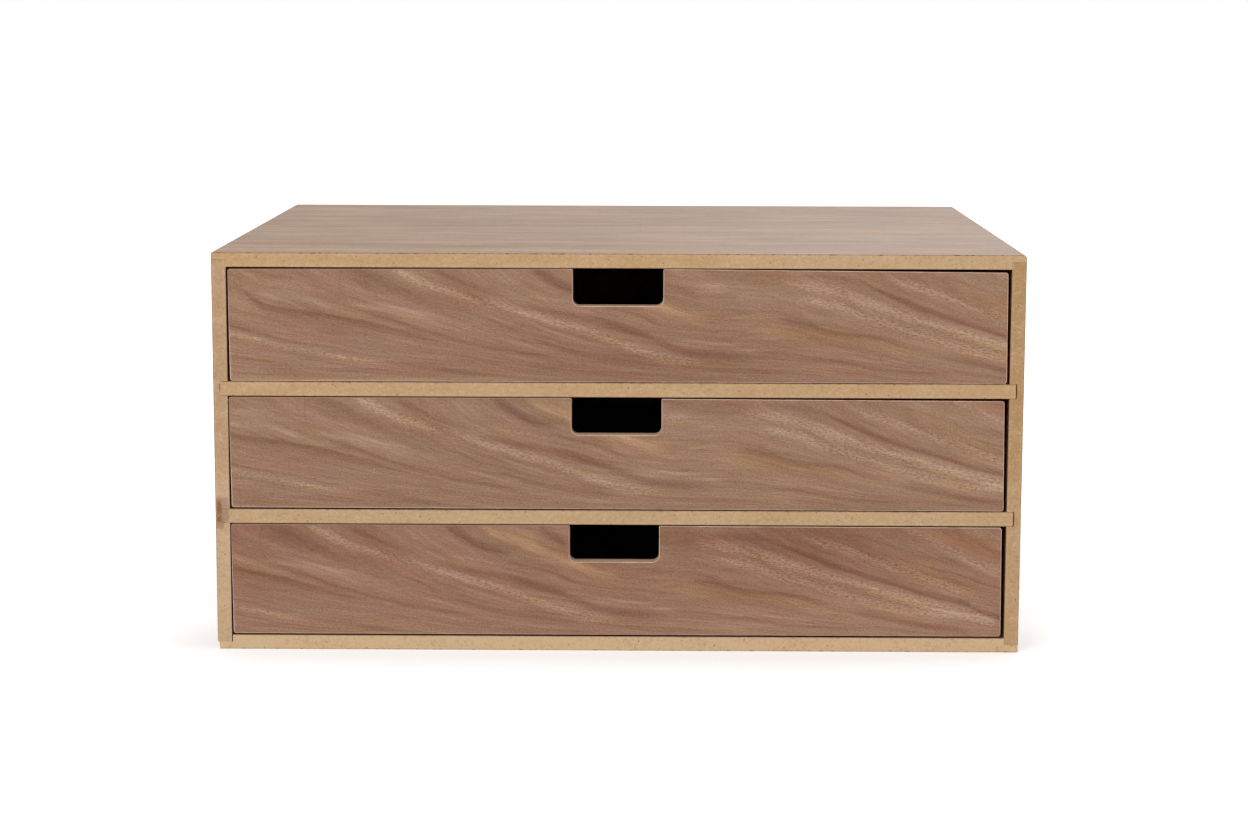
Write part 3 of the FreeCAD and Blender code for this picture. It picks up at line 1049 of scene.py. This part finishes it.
def arris_wood(floors, middles):
    """Walnut at the drawer fronts' arris, pale from sanding through its finish and from a painted highlight,
    least at their upper left and most at their lower left.
    """
    material, shader, (x, y, z) = new_material("walnut_arris")
    wear_and_highlight, grit = [solid_layer(arris_layers[name], (x, z, y)) for name in ("wear_and_highlight", "grit")]
    across = x - pick(z, middles)
    height = z - pick(z, floors)
    patchy = rise(wear_and_highlight + grit * arris_grit, *arris_patches) * patch_share * (1.0 - low_left(across, height))
    plain_arris = rise(height, *plain_arris_heights) * rise(across, *plain_arris_places) * plain_arris_share
    base = mixed(larger(patchy, plain_arris), sanded_arris_and_highlight, walnut_bare)
    finish(shader, base, grit, arris_roughness, "Specular IOR Level", arris_specular)
    return material


def pin_steel():
    """Bright drawn steel with a little tarnish."""
    material, shader, place = new_material("pin_steel")
    tarnish = solid_layer(tarnish_layer, place)
    base = mixed(rise(tarnish, *tarnish_parts), steel_tone, tarnish_tone)
    finish(shader, base, tarnish, steel_roughness, "Metallic", 1.0)
    return material


def span(node, axis):
    """Lowest and highest place of a node along an axis, in millimetres."""
    low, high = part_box(node)
    return low[axis] / mm, high[axis] / mm


def looks_along(part, degrees):
    """Whether a normal's part along an axis means that it is within so many degrees of that axis."""
    return abs(part) > math.cos(math.radians(degrees))


def is_flat(normal):
    """Whether a face looks straight along an axis, or nearly."""
    return any(looks_along(part, level_within) for part in normal)


def on_plane(edge, axis, planes):
    """Whether an edge lies on one of the planes across an axis."""
    places = [vertex.co[axis] / mm for vertex in edge.verts]
    return any(all(abs(place - plane) < same_plane for place in places) for plane in planes)


def new_object(name, data):
    piece = bpy.data.objects.new(name, data)
    bpy.context.scene.collection.objects.link(piece)
    return piece


def remade(node, materials, arris, picks_edge):
    """New object with the shape of a node, its flat faces made whole and the picked edges softened."""
    shape = bmesh.new()
    shape.from_mesh(nodes[node].data)
    bmesh.ops.remove_doubles(shape, verts=shape.verts, dist=weld_distance * mm)
    bmesh.ops.dissolve_limit(
        shape, angle_limit=math.radians(flat_angle), verts=shape.verts, edges=shape.edges)
    edges = [edge for edge in shape.edges if edge.is_convex and picks_edge(edge)]
    if edges:
        bmesh.ops.bevel(
            shape, geom=edges, offset=arris * mm, segments=arris_steps, profile=0.5,
            affect="EDGES", clamp_overlap=True)
    for face in shape.faces:
        face.smooth = not is_flat(face.normal)
    mesh = bpy.data.meshes.new(f"{node}_finished")
    shape.to_mesh(mesh)
    shape.free()
    for material in materials:
        mesh.materials.append(material)
    return new_object(f"{node}_finished", mesh)


def place_piece(piece, node):
    """The piece stands for its node, on the same body, and the node is hidden."""
    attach(piece, nodes[node]["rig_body"])
    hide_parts(node)


def case_board(node, axis, veneer, core):
    """Case board with veneer on its faces and its core at its edges. axis is across the board."""
    faces, ends = span(node, axis), span("top_panel", 1)

    def is_end_edge(edge):
        return on_plane(edge, axis, faces) and on_plane(edge, 1, ends)

    piece = remade(node, (veneer, core), case_arris, is_end_edge)
    for face in piece.data.polygons:
        face.material_index = 0 if looks_along(face.normal[axis], facing_within) else 1
    place_piece(piece, node)


def case_boards():
    """The six boards of the case."""
    # The top's walnut is darkened as painted shade.
    top = straight_veneer(
        "walnut_top", along_axes=(0,), across_axis=1, seed=2.0, contrast=0.8, length=1.3, warmth=0.8,
        redness=-0.7, painted_shade=top_painted_shade, own_figure=top_figure)
    level = straight_veneer("walnut_level", along_axes=(0,), across_axis=1, seed=31.0)
    upright = straight_veneer("walnut_upright", along_axes=(1,), across_axis=2, seed=57.0)
    marks = {"left_side_panel": left_side_marks, "right_side_panel": right_side_marks, "lower_shelf": stain}
    for number, (node, tints) in enumerate(core_tints.items()):
        if node.endswith("side_panel"):
            axis, veneer, blend = 0, upright, upright_painted_light_blend
        else:
            axis, veneer, blend = 2, level, level_blend
        if node == "top_panel":
            veneer = top
        core = board_core(
            f"core_{node}", tints, blend, core_seed_step * number, axis, span(node, axis),
            torn_lines.get(node, plain_lines), marks.get(node))
        case_board(node, axis, veneer, core)


def front_material_number(face, face_plane, sides, levels):
    """Material number on a drawer front: 0 veneer, 1 notch's core, 2 forward arris, pale from sanding and a
    painted highlight, 3 banded outer edge and the arris that looks away from the front, darkened as painted
    shade.
    """
    if looks_along(face.normal.y, facing_within):
        return 0
    if not is_flat(face.normal) and abs(face.center.y / mm - face_plane) < front_arris_depth:
        return 2 if -face.normal.y > pale_arris_facing else 3
    (left, right), (bottom, top) = sides, levels
    x, z = face.center.x / mm, face.center.z / mm
    return 3 if min(x - left, right - x, z - bottom, top - z) < front_corner else 1


def drawer_fronts():
    """The three fronts: walnut faces, arrises pale from sanding and a painted highlight, banded edges
    darkened as painted shade, and a bare core in the notch.
    """
    floors = {name: span(f"{name}_drawer_back", 2)[0] for name in drawer_names}
    middles = {name: sum(span(f"{name}_drawer_back", 0)) / 2 for name in drawer_names}
    lefts = {name: span(f"{name}_drawer_front", 0)[0] for name in drawer_names}
    veneer = front_veneer(floors, middles, lefts)
    arris = arris_wood(floors, middles)
    # The banded outer edges are darkened as painted shade, so that the gaps round the fronts look darker.
    edge_band = straight_veneer(
        "walnut_edge", along_axes=(0, 2), across_axis=1, seed=83.0, painted_shade=edge_painted_shade)
    for name in drawer_names:
        node = f"{name}_drawer_front"
        sides, faces, levels = [span(node, axis) for axis in range(3)]
        core = board_core(f"core_{node}", front_core_tints, level_blend, front_core_seed, 1, faces)
        piece = remade(node, (veneer, core, arris, edge_band), box_arris, lambda edge: False)
        for face in piece.data.polygons:
            face.material_index = front_material_number(face, faces[0], sides, levels)
        place_piece(piece, node)


def bare_piece(node, material):
    """Board of bare fibreboard with its outer edges softened."""
    limits = [span(node, axis) for axis in range(3)]

    def is_outer(edge):
        return sum(on_plane(edge, axis, planes) for axis, planes in enumerate(limits)) > 1

    place_piece(remade(node, (material,), box_arris, is_outer), node)


def bare_boards():
    """Drawer boxes, drawer floors and the back panel, in bare fibreboard."""
    looks = {slot: bare_board(*look) for slot, look in bare_looks.items()}
    rows = [("back_panel", "back_board")]
    for name in drawer_names:
        rows += [(f"{name}_drawer_{part}", "box_board") for part in ("left_side", "right_side", "back")]
        rows.append((f"{name}_drawer_floor", "floor_board"))
    for node, slot in rows:
        bare_piece(node, looks[slot])


def steel_pins():
    """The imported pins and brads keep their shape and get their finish."""
    steel = pin_steel()
    for node in ("back_panel_pins", *(f"{name}_drawer_brads" for name in drawer_names)):
        for number in range(len(nodes[node].material_slots)):
            nodes[node].material_slots[number].material = steel


def make_camera():
    data = bpy.data.cameras.new("camera")
    data.lens = camera_lens
    data.sensor_width = camera_sensor
    camera = new_object("camera", data)
    camera.location = Vector(camera_place) * mm
    camera.rotation_euler = [math.radians(angle) for angle in camera_turn]
    bpy.context.scene.camera = camera


def seen_directly(tree):
    """1 for rays from the camera, or from a glossy or clear surface, and otherwise 0."""
    path = tree.nodes.new("ShaderNodeLightPath")
    camera, glossy, clear = (
        Value(path.outputs[f"Is {kind} Ray"]) for kind in ("Camera", "Glossy", "Transmission"))
    return larger(larger(camera, glossy), clear)


def make_world():
    """White as a background, and a plain level as light."""
    world = bpy.data.worlds.new("studio")
    bpy.context.scene.world = world
    tree = empty_tree(world)
    background = tree.nodes.new("ShaderNodeBackground")
    background.inputs["Color"].default_value = (1.0, 1.0, 1.0, 1.0)
    seen = seen_directly(tree)
    plug(background.inputs["Strength"], seen * (1.0 - ambient_strength) + ambient_strength)
    show_surface(tree, "World", background)


def floor_lift(tree):
    """How much whiter the floor looks than its light makes it: a painted glow, least where the unit's shadow
    lies in front of it, and more beside and behind it, which thins the shadow there as painted light.
    """
    place = [value * mm for value in surface_place(tree)][:2]
    past = [larger(size_of(value - (low + high) / 2) - (high - low) / 2, 0.0)
            for value, low, high in zip(place, *cad_box)]
    distance = root_of_squares(*past)
    near, clear, far, behind = floor_lifts
    y, front = place[1], cad_box[0].y
    return (rise(distance, 0.0, shadow_reach) * clear + rise(distance, shadow_reach, far_off) * far
            + rise(y, front, front + shadow_reach) * behind + near)


def floor_material():
    """Pale floor that looks white and keeps the unit's shadow."""
    material = bpy.data.materials.new("studio_floor")
    tree = empty_tree(material)
    diffuse = tree.nodes.new("ShaderNodeBsdfDiffuse")
    diffuse.inputs["Color"].default_value = (floor_tone, floor_tone, floor_tone, 1.0)
    lift = tree.nodes.new("ShaderNodeEmission")
    plug(lift.inputs["Strength"], seen_directly(tree) * floor_lift(tree))
    both = tree.nodes.new("ShaderNodeAddShader")
    tree.links.new(diffuse.outputs[0], both.inputs[0])
    tree.links.new(lift.outputs[0], both.inputs[1])
    show_surface(tree, "Material", both)
    return material


def make_floor():
    """Plain square floor under the unit."""
    mesh = bpy.data.meshes.new("floor")
    corners = [(side_x * floor_reach, side_y * floor_reach, cad_box[0].z)
               for side_x, side_y in ((-1, -1), (1, -1), (1, 1), (-1, 1))]
    mesh.from_pydata(corners, [], [range(len(corners))])
    mesh.materials.append(floor_material())
    new_object("floor", mesh)


def make_lamps():
    for name, place, aim, size, watts in lamps:
        data = bpy.data.lights.new(name, "AREA")
        data.shape = "DISK"
        data.size = size
        data.energy = watts
        lamp = new_object(name, data)
        lamp.location = place
        lamp.rotation_euler = (Vector(aim) - Vector(place)).to_track_quat("-Z", "Y").to_euler()


shelf_middles = [sum(span(node, 2)) / 2 for node in ("lower_shelf", "upper_shelf")]

make_camera()
make_world()
make_floor()
make_lamps()
case_boards()
drawer_fronts()
bare_boards()
steel_pins()
bpy.context.scene.view_settings.view_transform = "Standard"
